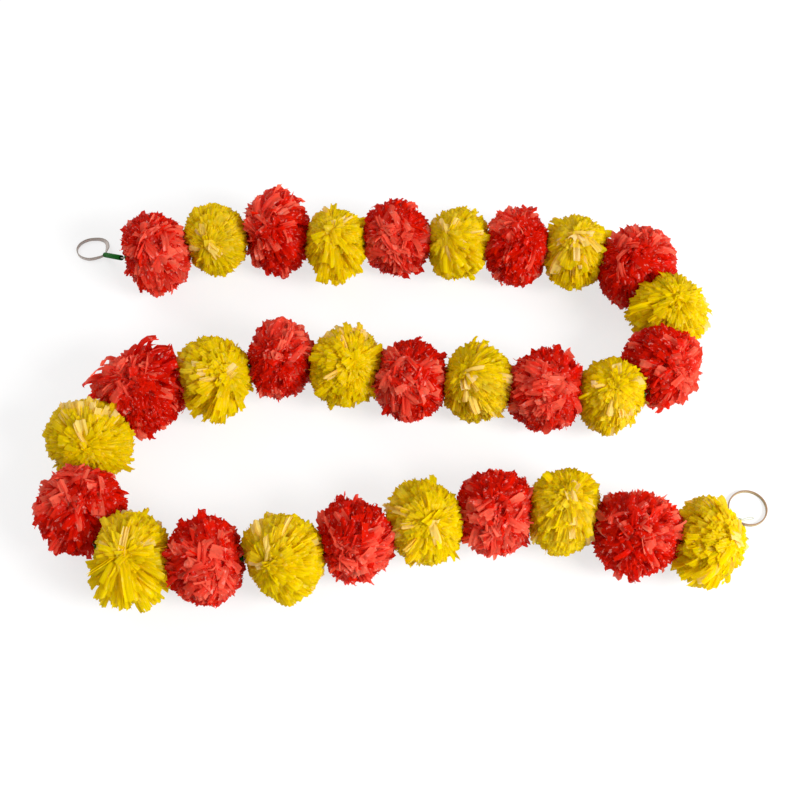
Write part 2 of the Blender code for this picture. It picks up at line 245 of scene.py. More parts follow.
# %% Grids into meshes
def grid_quads(rows, columns, wrap_rows=False, wrap_columns=False):
    """Corner numbers of the quads between neighbouring rows and columns."""
    r = np.arange(rows if wrap_rows else rows - 1)[:, None]
    c = np.arange(columns if wrap_columns else columns - 1)[None, :]
    after, beside = (r + 1) % rows, (c + 1) % columns
    corners = [r * columns + c, r * columns + beside, after * columns + beside, after * columns + c]
    return np.stack(corners, axis=-1).reshape(-1, 4)


def new_piece(name, points, quads, material, smooth):
    """Mesh object from arrays of points, of quads and of which quads are smooth."""
    mesh = bpy.data.meshes.new(name)
    mesh.vertices.add(len(points))
    mesh.vertices.foreach_set("co", points.astype(np.float32).ravel())
    mesh.loops.add(quads.size)
    mesh.loops.foreach_set("vertex_index", quads.astype(np.int32).ravel())
    mesh.polygons.add(len(quads))
    mesh.polygons.foreach_set("loop_start", np.arange(0, quads.size, 4, dtype=np.int32))
    mesh.polygons.foreach_set("use_smooth", smooth)
    return add_object(name, mesh, material)


def solid_piece(name, points, quads, material, caps=()):
    """Closed piece from arrays, with flat caps as lists of corners, turned outwards.

    The volume is a sixth of the sum of each corner triangle's triple product. Where it
    comes out negative the faces look inwards, and all of them are reversed.
    """
    fan = np.concatenate([quads[:, [0, 1, 2]], quads[:, [0, 2, 3]]])
    corners = points[fan]
    volume = np.einsum("ij,ij->", corners[:, 0], np.cross(corners[:, 1], corners[:, 2])) / 6
    faces = [*quads.tolist(), *[list(cap) for cap in caps]]
    if volume < 0:
        faces = [face[::-1] for face in faces]
    mesh = bpy.data.meshes.new(name)
    mesh.from_pydata(points.tolist(), [], faces)
    mesh.polygons.foreach_set("use_smooth", np.ones(len(faces), bool))
    return add_object(name, mesh, material)


def write_map(piece, name, places):
    """UV map from a place for each point, given to every corner of a face at that point."""
    corner = np.empty(len(piece.data.loops), np.int32)
    piece.data.loops.foreach_get("vertex_index", corner)
    layer = piece.data.uv_layers.new(name=name)
    layer.uv.foreach_set("vector", places[corner].astype(np.float32).ravel())


print("a 3 by 4 grid has", len(grid_quads(3, 4)), "quads")

# %% [markdown]
# The strips are polyethylene film, coloured right through and about as thick as a
# carrier bag. Fine streaks run along each strip as a bump, and they darken its colour in
# lines as painted shade of fine folds. It has a soft gloss, and light comes through it, so
# the bundle glows inside. Painted light pales the outer half of some strips, and painted
# glints fleck them. Each strip has its own tone in an attribute.

# %% Film finishes
STRIP_WIDTH = 0.005
STREAK_SPACING = 0.0010
CREASE_SPACING = 0.0020
# Scales of the two noises: across a strip, along its 30 mm or so, and from strip to strip
STREAKS = (STRIP_WIDTH / STREAK_SPACING, 1.2, 9.0)
CREASES = (STRIP_WIDTH / CREASE_SPACING, 9.0, 9.0)
PE_IOR = 1.51
# Roughness that creases add to the gloss
CREASE_DULLING = 0.18


def make_film(name, hub, body, tip, painted_light_colour, painted_glint_colour, glow, through, gloss, shine):
    """Film whose colour runs from hub to tip by the strip's length, with its creases.

    The two layers are a glossy one and one that lets light through in the share
    through. Tone shades whole strips at random. The colour from hub to tip is painted
    shade towards the hub and painted light at the tip, and the streaks paint the shade
    of fine folds. Painted light pales the outer half of some strips towards a pale
    colour, as film looks where it is a single layer against the light, and on flags it
    is a painted highlight. Flecks where the crease noise is highest are painted glints.
    Gloss is the least roughness, and shine the strength of the reflection.
    """
    material, tree = new_material(name)
    place = add_node(tree, "UVMap", uv_map="strip")
    strip = add_node(tree, "Attribute", attribute_name="marks").outputs["Color"]
    tone, painted_light, _ = add_node(tree, "SeparateXYZ", {0: strip}).outputs
    along = add_node(tree, "SeparateXYZ", {0: place}).outputs["Y"]

    shifted = add_node(tree, "VectorMath", {0: place, 1: strip}, operation="ADD")
    stretched = add_node(tree, "Mapping", {"Vector": shifted, "Scale": STREAKS})
    streaks = add_node(tree, "TexNoise", {"Vector": stretched, "Scale": 1.0, "Detail": 3.0})
    crumpled = add_node(tree, "Mapping", {"Vector": shifted, "Scale": CREASES})
    creases = add_node(
        tree, "TexNoise", {"Vector": crumpled, "Scale": 1.0, "Detail": 4.0, "Roughness": 0.6}
    )

    # Painted shade and light along each strip: darker towards the hub, where shade falls inside the
    # bundle, and lighter at the tip, where light falls
    stops = [(0.1, linear(hub)), (0.5, linear(body)), (1.0, linear(tip))]
    length = add_node(tree, "ValToRGB", {"Fac": along}, stops=stops)
    shade = add_node(tree, "MapRange", {"Value": tone, "To Min": 0.88, "To Max": 1.04})
    # Painted shade: the streaks darken the colour in fine lines along the strip, as shade in fine folds
    fold_shade = add_node(
        tree, "MapRange",
        {"Value": streaks, "From Min": 0.32, "From Max": 0.66, "To Min": 0.78, "To Max": 1.05},
    )
    level = add_node(tree, "Math", {0: shade, 1: fold_shade}, operation="MULTIPLY")
    shaded = add_node(tree, "VectorMath", {0: length, "Scale": level}, operation="SCALE")
    # Painted light: each strip's outer half is paled towards the pale colour by its painted light, as
    # light through a single layer and as a highlight on flags
    ends = add_node(tree, "MapRange", {"Value": along, "From Min": 0.5, "From Max": 0.98})
    pale = add_node(tree, "Math", {0: painted_light, 1: ends}, operation="MULTIPLY")
    light_paling = {"Factor": pale, "A": shaded, "B": linear(painted_light_colour)}
    paler = add_node(tree, "Mix", light_paling, data_type="RGBA").outputs["Result"]
    # Painted glints: small pale marks where the crease noise is highest
    glint_mask = add_node(
        tree, "MapRange", {"Value": creases, "From Min": 0.60, "From Max": 0.67, "To Max": 0.7}
    )
    glint_mix = {"Factor": glint_mask, "A": paler, "B": linear(painted_glint_colour)}
    colour = add_node(tree, "Mix", glint_mix, data_type="RGBA").outputs["Result"]

    rough = add_node(
        tree, "MapRange", {"Value": creases, "To Min": gloss, "To Max": gloss + CREASE_DULLING}
    )
    relief = add_node(tree, "Math", {0: streaks, 1: creases}, operation="ADD")
    bump = add_node(tree, "Bump", {"Height": relief, "Strength": 0.6, "Distance": 0.0004})
    glossy = {"Base Color": colour, "Roughness": rough, "Normal": bump, "IOR": PE_IOR}
    film = add_node(tree, "BsdfPrincipled", {**glossy, "Specular IOR Level": shine})
    lit = add_node(tree, "Mix", {"Factor": 0.5, "A": colour, "B": linear(glow)}, data_type="RGBA")
    sheer = add_node(tree, "BsdfTranslucent", {"Color": lit.outputs["Result"], "Normal": bump})
    mixed = add_node(tree, "MixShader", {0: through, 1: film, 2: sheer})
    add_node(tree, "OutputMaterial", {"Surface": mixed})
    return material


# The hub colour is painted shade and the tip colour painted light; the pale colour is painted light and
# highlight, and the glint colour painted glints
red_film = make_film(
    "red PE film", hub="#be0000", body="#dc0400", tip="#ea2200", painted_light_colour="#ff9474", painted_glint_colour="#ffcabc",
    glow="#ff2400", through=0.66, gloss=0.12, shine=0.08,
)
yellow_film = make_film(
    "yellow PE film", hub="#d07400", body="#f4e000", tip="#faf000", painted_light_colour="#fffac0", painted_glint_colour="#fff470",
    glow="#ffc800", through=0.66, gloss=0.1, shine=0.08,
)
print("finishes:", red_film.name, "and", yellow_film.name)

# %% [markdown]
# A pompom is a bundle of strips tied round the tube. They fan out to every side, are
# trimmed to a rounded shape, and their ends bend over, so that the flat of the film is
# what you see. Every strip here is one small grid, and all of a pompom's strips are
# worked out together as arrays.

# %% Where the strips point
# At 2 a pompom would be round, and below it is leaner between its axes
FULLNESS = 1.88
NEIGHBOUR_OVERLAP = 0.003
# Some pompoms press into the next one or are pressed by it: how far past the bend they meet
BORDER_SHIFTS = {
    1: 0.0035, 2: 0.002, 3: 0.002, 5: 0.003, 8: -0.002,
    17: -0.003, 23: -0.003, 24: 0.003, 28: -0.004, 29: 0.003,
}
# How far strips may reach past the solid's end, past a plane, and further where it is bent
END_ROOM = 0.004
SHOULDER_ROOM = 0.0015
BEND_ROOM = 0.014
GOLDEN_TURN = math.pi * (3 - math.sqrt(5))
# Draws for each strip: where it falls within its step, and the spread of its turn in radians
STEP_DRAW = (0.2, 0.8)
TURN_SPREAD = 0.12
# Cosine of the least angle between a strip and the string
TOP_LEVEL = 0.985
# The power that cuts strips off at a plane, and the least share of a strip's way to it
SHARPNESS = 16
LEAST_TOWARDS = 0.01


def unit(vectors):
    """The same directions, each one long."""
    return vectors / np.linalg.norm(vectors, axis=-1, keepdims=True)


def leftward(way):
    """Level direction a quarter turn to the left of another."""
    return np.array([-way[1], way[0], 0.0])


def reaches(number):
    """Radius, front reach and back reach of a pompom's solid, from its own points."""
    solid = frame["nodes"][f"flower_{number:02d}"].data
    points = np.empty(len(solid.vertices) * 3, np.float32)
    solid.vertices.foreach_get("co", points)
    offset = points.reshape(-1, 3) - hubs[number - 1]
    ahead = offset @ headings[number - 1]
    aside = np.linalg.norm(offset - ahead[:, None] * headings[number - 1], axis=1)
    return aside.max(), ahead.max(), -ahead.min()


def end_planes(number):
    """Plane at each end of a pompom as its outward normal and its distance.

    Between two pompoms it halves the bend, a little to one side where one of them is
    fuller. Past the last one it is a little beyond where the solid ends.
    """
    _, front, back = reaches(number)
    planes = []
    for side, reach, neighbour in ((1, front, number + 1), (-1, back, number - 1)):
        string = side * headings[number - 1]
        if neighbour in numbers:
            normal = string + side * headings[neighbour - 1]
            normal = normal / np.linalg.norm(normal)
            border = number if side > 0 else number - 1
            past = NEIGHBOUR_OVERLAP + side * BORDER_SHIFTS.get(border, 0.0)
            planes.append((normal, (bends[border] - hubs[number - 1]) @ normal + past))
        else:
            planes.append((string, reach + END_ROOM))
    return planes


def strip_tips(number, count, dice):
    """Tips spread evenly over an egg that meets its neighbours.

    The turn about the string grows by the golden angle from strip to strip while the
    slope to it falls evenly, and each coordinate is a power of its sine or cosine, so
    that the egg is a little leaner than round. Along the string it is as long as its
    planes allow, with more room where the string bends. A strip that points past a
    plane is cut there. The shorter length wins softly: both are raised to a strong
    negative power and added, and the root of that is taken.
    """
    radius = reaches(number)[0]
    step = np.arange(count) + dice.uniform(*STEP_DRAW, count)
    turn = step * GOLDEN_TURN + dice.normal(0, TURN_SPREAD, count)
    level = TOP_LEVEL * (1 - 2 * step / count)
    power = 2 / FULLNESS
    string = headings[number - 1]
    planes = end_planes(number)
    rooms = []
    for normal, distance in planes:
        bent = np.linalg.norm(np.cross(normal, string))
        rooms.append(min(radius, distance + SHOULDER_ROOM + BEND_ROOM * bent))
    side = radius * (1 - level**2) ** (power / 2)
    ahead = np.where(level > 0, rooms[0], rooms[1]) * np.sign(level) * np.abs(level) ** power
    axes = np.stack([string, leftward(string), [0.0, 0.0, 1.0]])
    tips = np.stack([ahead, side * np.cos(turn), side * np.sin(turn)], axis=1) @ axes
    length = np.linalg.norm(tips, axis=1)
    out = tips / length[:, None]
    for normal, distance in planes:
        towards = np.clip(out @ normal, LEAST_TOWARDS, None)
        length = (length**-SHARPNESS + (distance / towards) ** -SHARPNESS) ** (-1 / SHARPNESS)
    return out * length[:, None]


print("pompom 1 reaches, in mm:", [round(float(r) * 1000, 1) for r in reaches(1)])

# %% The strips of one pompom
ROWS = 9
COLUMNS = 5
# Rows lie closer together towards the tip, where a strip bends most
ROW_PLACES = 1 - (1 - np.linspace(0, 1, ROWS)) ** 1.4
ROOT_RADIUS = 0.0023
# How much of its lean along the string a strip loses where it leaves the tube
ROOT_UPRIGHT = 0.75
# The strips droop away from here, up and a little to the front, with its spread
CROWN = np.array([0.0, -0.34, 0.94])
CROWN_SPREAD = 0.22
# The least and the greatest swing, and how much further flags swing, in radians
SWING_LIMITS = (0.05, 1.5)
FLAG_SWING = 0.35
WIDTH_LIMITS = (0.002, 0.008)
FLAG_WIDENING = 0.1
# Share of its width that a strip has at the tie, and of its length by which it is open
TIE_WIDTH = 0.1
OPEN_BY = 0.55
# Spread of the cut end's slant, and of its single points
END_SLANT = 0.0006
END_FRAY = 0.00025


def strip_grids(tips, string, flags, look, dice):
    """Points of every strip as an array of strips, rows, columns and coordinates.

    A strip leaves the tube aside of its tip and swings over towards it: its direction
    turns by an angle that shrinks as a power of the length, and its distance from the
    tube grows fast at first and then levels out, so that its end lies along the ball.
    It swings away from the crown in the share droop and anyhow in the rest, most half
    way down from the crown, and less at the crown and at the rim. Across, it opens from
    the tie to its full width and rolls a little. Its columns are folded up or down all
    along, and single points of it are crumpled. Flags are wider and turn right over.
    """
    count = len(tips)
    out = unit(tips)
    reach = np.linalg.norm(tips, axis=1)[:, None]
    crown = unit(CROWN + dice.normal(0, CROWN_SPREAD, 3))
    pull = crown * look["droop"] + unit(dice.normal(size=(count, 3))) * (1 - look["droop"])
    back = unit(pull - (pull * out).sum(1, keepdims=True) * out)

    share = ROW_PLACES[None, :]
    rise = np.clip(out @ crown, 0, 1)[:, None]
    slope = 2 * rise * np.sqrt(1 - rise**2)
    swing = np.clip(dice.normal(*look["swing"], (count, 1)), *SWING_LIMITS)
    swing = swing * (look["crown"] + (1 - look["crown"]) * slope) + FLAG_SWING * flags[:, None]
    angle = swing * (1 - share ** dice.uniform(*look["bend"], (count, 1)))
    level = 1 - (1 - share) ** dice.uniform(*look["level"], (count, 1))
    heading = np.cos(angle)[..., None] * out[:, None] + np.sin(angle)[..., None] * back[:, None]
    root = heading[:, 0] - ROOT_UPRIGHT * (heading[:, 0] @ string)[:, None] * string
    middle = (unit(root) * ROOT_RADIUS)[:, None] + ((reach - ROOT_RADIUS) * level)[..., None] * heading

    forward = unit(np.gradient(middle, axis=1))
    across = unit(np.cross(out, back))[:, None]
    normal = unit(np.cross(across, forward))
    roll = dice.normal(0, look["roll"], (count, 1)) + dice.normal(0, look["twist"], (count, 1)) * share
    turned = np.cos(roll)[..., None] * across + np.sin(roll)[..., None] * normal
    normal = np.cos(roll)[..., None] * normal - np.sin(roll)[..., None] * across

    width = np.clip(dice.normal(*look["width"], (count, 1)), *WIDTH_LIMITS)
    width = width * (1 + FLAG_WIDENING * flags[:, None])
    opening = np.clip(share / OPEN_BY, 0, 1)
    half_width = width / 2 * (TIE_WIDTH + (1 - TIE_WIDTH) * opening**2 * (3 - 2 * opening))
    place = np.linspace(-1, 1, COLUMNS)
    fold = dice.normal(0, look["fold"], (count, 1, COLUMNS)) * opening[..., None]
    crumple = dice.normal(0, look["crumple"], (count, ROWS, COLUMNS)) * share[..., None] ** 1.5
    crumple = crumple * (1 + flags)[:, None, None]
    points = middle[:, :, None] + (half_width[..., None] * place)[..., None] * turned[:, :, None]
    points = points + (fold + crumple)[..., None] * normal[:, :, None]
    slant = dice.normal(0, END_SLANT, (count, 1)) * place
    slant = slant + dice.normal(0, END_FRAY, (count, COLUMNS))
    points[:, -1] += slant[..., None] * forward[:, -1:]
    return points


print("rows of a strip, as shares of its length:", np.round(ROW_PLACES, 2).tolist())

# %% [markdown]
# The yellow pompoms look sleek, with wide strips that lie over one another like rays.
# The red ones look ruffled: more of their strips are flags, whose ends turn right over
# and carry a painted highlight as small pale squares. One side of each pompom is paler
# than the rest: painted light, as where light comes through its film. No ball is quite
# round: a few strips are longer, and some sides are ragged or trimmed short.

# %% The thirty pompoms
STRIP_COUNT = 880
# Pompoms that are ragged on one side, or trimmed short there: the way it points, and how
# far the longest strips reach past the ball, or all of them stay short of it
UNEVEN = [
    (1, (0.5, -1.0, 0.2), 0.005), (1, (-1.0, -0.5, 0.0), -0.003), (2, (0.2, -1.0, 0.2), 0.004),
    (3, (0.0, 1.0, 0.3), 0.010), (3, (-0.7, -1.0, 0.0), -0.007), (4, (0.1, -1.0, 0.2), 0.007),
    (4, (0.1, -1.0, 0.2), 0.012), (4, (0.1, 1.0, 0.0), -0.005), (5, (-0.3, 1.0, 0.2), 0.005),
    (5, (-0.3, -1.0, 0.0), -0.008), (6, (0.0, -1.0, 0.3), 0.012), (6, (0.0, 1.0, 0.0), -0.004),
    (8, (-0.5, -1.0, 0.1), 0.006), (8, (0.3, 1.0, 0.0), -0.003), (10, (0.9, 0.45, 0.1), -0.006),
    (10, (-1.0, -0.2, 0.0), 0.006), (11, (0.7, -0.7, 0.0), -0.005), (11, (1.0, 0.0, 0.0), -0.002),
    (12, (0.7, -0.8, 0.0), -0.010), (13, (-0.3, -1.0, 0.0), -0.004), (13, (0.2, 1.0, 0.3), 0.004),
    (14, (0.0, 1.0, 0.2), 0.004), (14, (0.2, -1.0, 0.0), -0.003), (17, (0.0, 1.0, 0.3), 0.004),
    (17, (0.5, -1.0, 0.0), -0.008), (18, (0.1, -1.0, 0.1), 0.012), (18, (-0.2, 1.0, 0.0), -0.003),
    (19, (-1.0, -0.1, 0.0), 0.014), (19, (0.4, 1.0, 0.2), 0.009), (19, (0.9, 0.9, 0.2), 0.014),
    (19, (0.6, -1.0, 0.0), -0.006), (20, (-1.0, 0.4, 0.1), 0.002), (20, (-1.0, -0.5, 0.0), 0.002),
    (21, (-0.2, -1.0, 0.2), 0.005), (21, (1.0, 0.2, 0.0), -0.002), (22, (-0.2, -1.0, 0.1), 0.009),
    (22, (0.7, -1.0, 0.1), 0.010), (22, (-1.0, 0.1, 0.0), -0.007), (22, (0.6, 1.0, 0.0), -0.003),
    (23, (-0.2, -1.0, 0.0), -0.002), (24, (0.3, -1.0, 0.2), 0.006), (24, (-0.8, -0.6, 0.0), -0.004),
    (24, (0.0, 1.0, 0.0), -0.004), (25, (0.3, 1.0, 0.0), -0.003), (25, (0.5, -0.9, 0.0), -0.004),
    (26, (-0.7, 0.8, 0.1), 0.004), (26, (0.0, 1.0, 0.0), -0.002), (27, (-0.6, -0.9, 0.0), 0.004),
    (27, (0.0, 1.0, 0.0), -0.0035), (28, (0.7, 0.7, 0.3), 0.004), (29, (0.3, 1.0, 0.1), -0.008),
    (29, (-0.7, -0.8, 0.0), 0.004), (30, (-0.8, -0.8, 0.0), 0.012), (30, (0.7, 0.7, 0.0), -0.007),
    (30, (0.4, -1.0, 0.0), -0.003),
]
# The way each pompom's palest side points, in order: the side that gets painted light, as where light
# comes through its strips
PALE = [
    (0.8, -0.5, 0.2), (0.2, -0.3, 0.8), (-0.4, 0.6, 0.6), (-0.3, 0.2, 0.8), (-0.3, -0.8, 0.4),
    (-0.4, 0.0, 0.8), (-0.5, 0.8, 0.3), (-0.2, -0.2, 0.9), (0.4, 0.8, 0.3), (0.9, 0.4, 0.2),
    (0.8, -0.6, 0.1), (0.3, -0.9, 0.2), (-0.2, -0.6, 0.7), (0.1, -0.9, 0.2), (-0.8, -0.4, 0.4),
    (0.3, 0.8, 0.4), (0.2, 0.8, 0.5), (-0.8, 0.0, 0.3), (-0.6, 0.4, 0.5), (-0.2, 0.7, 0.5),
    (-0.5, 0.4, 0.6), (-0.5, 0.5, 0.6), (0.1, -0.7, 0.6), (-0.5, 0.4, 0.6), (0.4, -0.9, 0.1),
    (-0.9, 0.0, 0.3), (0.0, -0.9, 0.3), (0.1, -0.6, 0.6), (0.6, 0.5, 0.3), (0.0, 0.7, 0.6),
]
BALL_RADIUS = 0.030
FLOOR_GAP = 0.0004
FLOOR_SPREAD = 0.002
# A flag's chance as parts of its look's share: on every side, and added at the palest
FLAGS_ANYWHERE = 0.4
FLAGS_AT_PALEST = 1.6
# Lengths as parts of the way to the ball: the fullest of most strips, and the range of
# the long ones and of the flags
FULL_TRIM = 0.975
LONG_TRIM = (1.03, 1.12)
FLAG_TRIM = (0.97, 1.05)
TRIM_POWER = 1.3
LONG_SHARE = 0.012
# The longer a ragged side's strips may be, the fewer are: what a metre adds to the power
RAGGED_POWER = 120
# Painted highlight on a flag's outer half, drawn between these shares of the pale colour
FLAG_PAINTED_LIGHT = (0.35, 0.95)
# How much of what lies past an end plane is pressed back
PLANE_PRESS = 0.9
CELL_MARGIN = 0.08
FIRST_SEED = 1000
# What tells the two kinds apart. Shares: flags among the strips, painted light at the rim of the
# palest side, the trim that a strip may lack, the swing left at the crown, and the droop
# away from it. Swing as mean and spread, roll and twist are radians. Bend and level are
# powers drawn between two. Width as mean and spread, fold and crumple are metres.
LOOKS = {
    "red": dict(
        film=red_film, slot="film_red", flags=0.12, rim=1.1, trim=0.09, crown=0.45,
        droop=0.7, swing=(0.55, 0.16), bend=(1.6, 2.8), level=(1.4, 2.0), roll=0.22, twist=0.25,
        width=(0.0050, 0.0011), fold=0.0009, crumple=0.00026,
    ),
    "yellow": dict(
        film=yellow_film, slot="film_yellow", flags=0.025, rim=0.12, trim=0.10, crown=0.6,
        droop=0.93, swing=(0.75, 0.15), bend=(1.4, 2.2), level=(1.2, 1.7), roll=0.10, twist=0.10,
        width=(0.0046, 0.0010), fold=0.0008, crumple=0.00014,
    ),
}


def atlas_places(count):
    """Place of every strip's points on a square sheet, one small cell to a strip."""
    cells = math.ceil(math.sqrt(count))
    cell = np.stack(np.divmod(np.arange(count), cells), axis=1)[:, None, None, :]
    across = np.linspace(CELL_MARGIN, 1 - CELL_MARGIN, COLUMNS)
    inset = np.meshgrid(np.linspace(CELL_MARGIN, 1 - CELL_MARGIN, ROWS), across, indexing="ij")
    return ((cell + np.stack(inset, axis=-1)) / cells).reshape(-1, 2)


def make_pompom(number, look, dice):
    """One pompom's strips as one piece, in place round its hub.

    Most tips stop a little short of the ball, by a power of an even draw, and long ones
    and flags reach it or pass it. On an uneven side they are longer or shorter by how
    squarely they face its way. Points past an end plane are pressed back to it, and
    points under the floor are lifted onto it. Marks hold each strip's tone, its painted
    light, which is heavier on the palest side and on flags, and a number of its own.
    """
    tips = strip_tips(number, STRIP_COUNT, dice)
    # Painted light: strips that face the pompom's palest side get more flags and a paler outer half
    pale = np.clip(unit(tips) @ unit(np.array(PALE[number - 1])), 0, 1) ** 2
    flags = dice.random(STRIP_COUNT) < look["flags"] * (FLAGS_ANYWHERE + FLAGS_AT_PALEST * pale)
    trim = FULL_TRIM - look["trim"] * dice.random(STRIP_COUNT) ** TRIM_POWER
    longer = dice.random(STRIP_COUNT) < LONG_SHARE
    trim = np.where(longer, dice.uniform(*LONG_TRIM, STRIP_COUNT), trim)
    trim = np.where(flags, dice.uniform(*FLAG_TRIM, STRIP_COUNT), trim)
    for which, way, extra in UNEVEN:
        if which == number:
            facing = np.clip(unit(tips) @ unit(np.array(way)) * 2 - 1, 0, 1)
            chance = dice.random(STRIP_COUNT) ** (1 + RAGGED_POWER * max(extra, 0))
            trim = trim + extra / BALL_RADIUS * facing * (chance if extra > 0 else 1.0)
    points = strip_grids(tips * trim[:, None], headings[number - 1], flags, look, dice)
    for normal, distance in end_planes(number):
        past = np.maximum(points @ normal - distance, 0)
        points = points - (past * PLANE_PRESS)[..., None] * normal
    points = points + hubs[number - 1]
    lowest = FLOOR_GAP + dice.uniform(0, FLOOR_SPREAD, (STRIP_COUNT, 1, 1))
    points[..., 2] = np.maximum(points[..., 2], lowest)

    one = grid_quads(ROWS, COLUMNS)
    quads = (one[None] + (np.arange(STRIP_COUNT) * ROWS * COLUMNS)[:, None, None]).reshape(-1, 4)
    name = f"pompom_{number:02d}_strips"
    smooth = np.repeat(~flags, len(one))
    piece = new_piece(name, points.reshape(-1, 3), quads, look["film"], smooth)
    v, u = np.meshgrid(ROW_PLACES, np.linspace(0, 1, COLUMNS), indexing="ij")
    write_map(piece, "strip", np.tile(np.stack([u, v], axis=-1).reshape(-1, 2), (STRIP_COUNT, 1)))
    write_map(piece, "OFBake", atlas_places(STRIP_COUNT))
    tone = dice.random(STRIP_COUNT)
    # Painted light of each strip: a painted highlight on flags, and on the rest a paling towards the
    # palest side
    flag_painted_light = dice.uniform(*FLAG_PAINTED_LIGHT, STRIP_COUNT)
    painted_light = np.where(flags, flag_painted_light, look["rim"] * pale * dice.random(STRIP_COUNT) ** 2)
    marks = np.stack([tone, painted_light, dice.random(STRIP_COUNT), np.ones(STRIP_COUNT)], axis=1)
    marks = np.repeat(marks, ROWS * COLUMNS, axis=0).astype(np.float32)
    attribute = piece.data.attributes.new("marks", "FLOAT_COLOR", "POINT")
    attribute.data.foreach_set("color", marks.ravel())
    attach(piece, f"pompom_{number:02d}")
    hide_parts(f"flower_{number:02d}")


for number in numbers:
    look = LOOKS["red" if number % 2 else "yellow"]
    make_pompom(number, look, np.random.default_rng(FIRST_SEED + number))
print("pompoms:", FLOWER_COUNT, "with", STRIP_COUNT * FLOWER_COUNT, "strips")

# %% [markdown]
# Tubes, thread and straps are each one profile carried along a path. At every point of
# the path the profile is laid out along two directions: sideways, which is square to
# the path and to up, and the one square to both. A roll turns the profile as it goes.

# %% A profile along a path
def carry(path, profile, up=(0.0, 0.0, 1.0), roll=0.0, swell=1.0):
    """Rings of points: the path's point plus the profile's two numbers times the
    directions there, after both are turned by roll and stretched by swell."""
    count = len(path)
    forward = unit(np.gradient(path, axis=0))
    side = unit(np.cross(forward, up))
    top = np.cross(side, forward)
    turn = np.broadcast_to(roll, count)[:, None]
    across = np.cos(turn) * side + np.sin(turn) * top
    above = np.cos(turn) * top - np.sin(turn) * side
    size = np.broadcast_to(swell, count)[:, None, None]
    return path[:, None] + size * (profile[:, :1] * across[:, None] + profile[:, 1:] * above[:, None])


def running_length(path):
    """Length of a line up to each of its points, as the sum of the steps before it."""
    return np.concatenate([[0.0], np.cumsum(np.linalg.norm(np.diff(path, axis=0), axis=1))])


def evenly(corners, spacing):
    """Points along a broken line at even steps, by its running length."""
    corners = np.asarray(corners, float)
    run = running_length(corners)
    at = np.linspace(0, run[-1], max(int(run[-1] / spacing), 2) + 1)
    return np.stack([np.interp(at, run, corners[:, k]) for k in range(3)], axis=1)


def rounded(corners, spacing, passes):
    """The same line with its corners worn round: each point moves to the mean of its
    neighbours and itself, some number of times, while both ends stay."""
    path = evenly(corners, spacing)
    for _ in range(passes):
        path[1:-1] = (path[:-2] + 2 * path[1:-1] + path[2:]) / 4
    return path


def circle(radius, sides):
    """Points of a circle, each the cosine and the sine of an even step."""
    angle = np.linspace(0, 2 * np.pi, sides, endpoint=False)
    return radius * np.stack([np.cos(angle), np.sin(angle)], axis=1)


def rod_piece(name, rings, material, layer, places):
    """Closed piece of rings of points, with a flat cap at each end and a UV map."""
    rows, sides = rings.shape[:2]
    caps = [range(sides), range((rows - 1) * sides, rows * sides)[::-1]]
    quads = grid_quads(rows, sides, wrap_columns=True)
    piece = solid_piece(name, rings.reshape(-1, 3), quads, material, caps)
    write_map(piece, layer, np.stack(places, axis=-1).reshape(-1, 2))
    return piece


print("a circle of 24 points, 4 mm wide:", circle(0.002, 24).shape)

# %% [markdown]
# Each pompom is tied on a length of dark green polypropylene tube, like a drinking
# straw, cut with scissors. It is extruded, so its gloss is drawn out along it. The tubes
# keep the pompoms apart and hide the string.

# %% Tube finish
# Cells of the noise along a tube and round it, so that a line is about 0.3 mm wide
DRAWN_LINES = (3.0, 40.0, 1.0)


def make_tube_plastic(name, colour, edge):
    """Extruded plastic: faint lines along the tube, from noise stretched along it."""
    material, tree = new_material(name)
    place = add_node(tree, "UVMap", uv_map="skin")
    drawn = add_node(tree, "Mapping", {"Vector": place, "Scale": DRAWN_LINES})
    lines = add_node(tree, "TexNoise", {"Vector": drawn, "Scale": 1.0, "Detail": 3.0})
    both = {"Factor": lines, "A": linear(colour), "B": linear(edge)}
    tint = add_node(tree, "Mix", both, data_type="RGBA").outputs["Result"]
    gloss = add_node(tree, "MapRange", {"Value": lines, "To Min": 0.45, "To Max": 0.6})
    bump = add_node(tree, "Bump", {"Height": lines, "Strength": 0.3, "Distance": 0.00005})
    shell = add_node(
        tree, "BsdfPrincipled",
        {"Base Color": tint, "Roughness": gloss, "Normal": bump, "Specular IOR Level": 0.03},
    )
    add_node(tree, "OutputMaterial", {"Surface": shell})
    return material


green_tube = make_tube_plastic("extruded green PP", "#004804", "#005a08")
print("finish:", green_tube.name)

# %% The tubes
TUBE_RADIUS = 0.002
TUBE_BORE = 0.0014
TUBE_LIP = 0.00015
TUBE_END_GAP = 0.0015
TUBE_SIDES = 28


def make_tube(name, line, node, body):
    """Hollow tube: a circle carried out along the line and back inside it.

    The radius is the outer one on the way out and the bore's on the way back, a little
    less than full at the lips.
    """
    outer = np.full(len(line), TUBE_RADIUS)
    inner = np.full(len(line), TUBE_BORE)
    outer[[0, -1]] -= TUBE_LIP
    inner[[0, -1]] += TUBE_LIP
    there = carry(line, circle(1.0, TUBE_SIDES), swell=outer)
    back = carry(line, circle(1.0, TUBE_SIDES), swell=inner)[::-1]
    points = np.concatenate([there, back])
    rows = len(points)
    quads = grid_quads(rows, TUBE_SIDES, wrap_rows=True, wrap_columns=True)
    piece = solid_piece(name, points.reshape(-1, 3), quads, green_tube)
    run, turn = np.meshgrid(np.linspace(0, 1, rows), np.linspace(0, 1, TUBE_SIDES), indexing="ij")
    write_map(piece, "skin", np.stack([run, turn], axis=-1).reshape(-1, 2))
    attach(piece, body)
    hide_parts(node)


